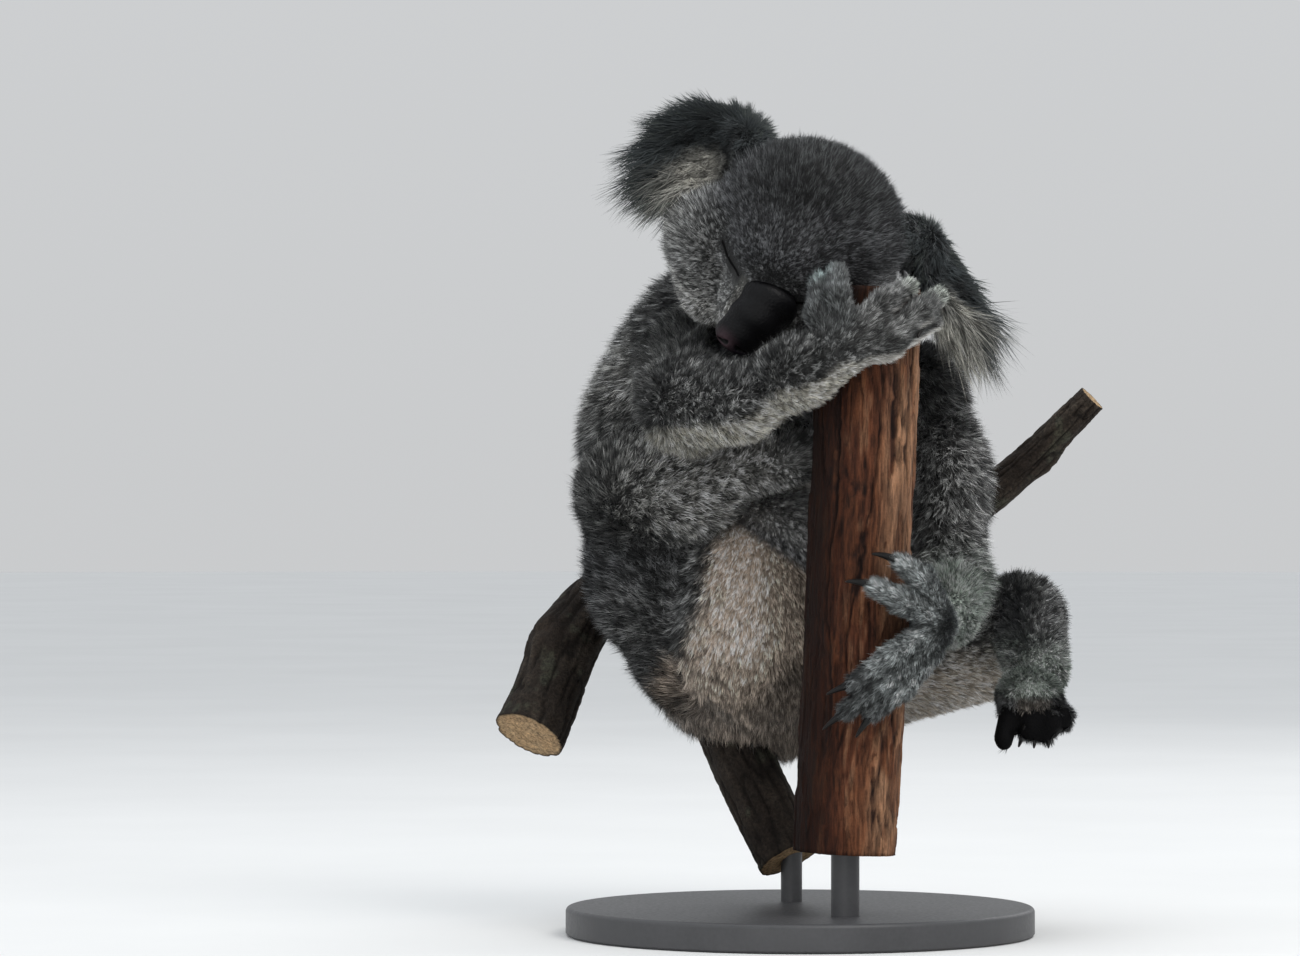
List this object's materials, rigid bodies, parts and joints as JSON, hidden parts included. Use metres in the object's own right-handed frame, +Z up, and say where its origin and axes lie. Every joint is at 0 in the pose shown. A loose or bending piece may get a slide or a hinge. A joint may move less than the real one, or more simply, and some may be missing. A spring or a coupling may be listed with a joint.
{
  "type": "koala",
  "caption": "Life-size still model of a koala asleep, hugging a cut wooden post and sitting in a fork of dark branch, on a plain display stand.",
  "frame": {"origin": "centre of the underside of the stand's base", "axes": "+Z up; the koala's body and the camera side face -Y; +X is the animal's left"},
  "size_m": [0.4016, 0.3537, 0.5382],
  "materials": {
    "coat": "dense woolly fur, grizzled mid grey, paler cheeks, chin, chest, belly and ear fringes",
    "nose_leather": "fine pebbled bare skin, satin",
    "eye": "wet gloss, almost wholly behind closed lids",
    "claw": "dark horn, satin",
    "perch_wood": "weathered reddish wood, bark gone, long splits",
    "perch_bark": "dark rough bark, sawn ends",
    "stand_paint": "matt black"
  },
  "bodies": {
    "root": {"head": "coat", "nose": "nose_leather", "eye_R": "eye", "eye_L": "eye", "ear_R": "coat", "ear_L": "coat", "neck": "coat", "trunk": "coat", "upper_arm_R": "coat", "forearm_R": "coat", "hand_R": "coat", "upper_arm_L": "coat", "forearm_L": "coat", "hand_L": "coat", "thigh_R": "coat", "shank_R": "coat", "foot_R": "coat", "thigh_L": "coat", "shank_L": "coat", "foot_L": "coat", "hand_R_claw_1": "claw", "hand_R_claw_2": "claw", "hand_R_claw_3": "claw", "hand_R_claw_4": "claw", "hand_R_claw_5": "claw", "hand_L_claw_1": "claw", "hand_L_claw_2": "claw", "hand_L_claw_3": "claw", "hand_L_claw_4": "claw", "hand_L_claw_5": "claw", "foot_R_claw_1": "claw", "foot_R_claw_2": "claw", "foot_R_claw_3": "claw", "foot_R_claw_4": "claw", "foot_L_claw_1": "claw", "foot_L_claw_2": "claw", "foot_L_claw_3": "claw", "foot_L_claw_4": "claw", "perch_post": "perch_wood", "perch_branch_left": "perch_bark", "perch_branch_mid": "perch_bark", "perch_branch_right": "perch_bark", "perch_stub": "perch_bark", "stand_base": "stand_paint", "stand_rod_post": "stand_paint", "stand_rod_branch": "stand_paint"}
  },
  "joints": []
}
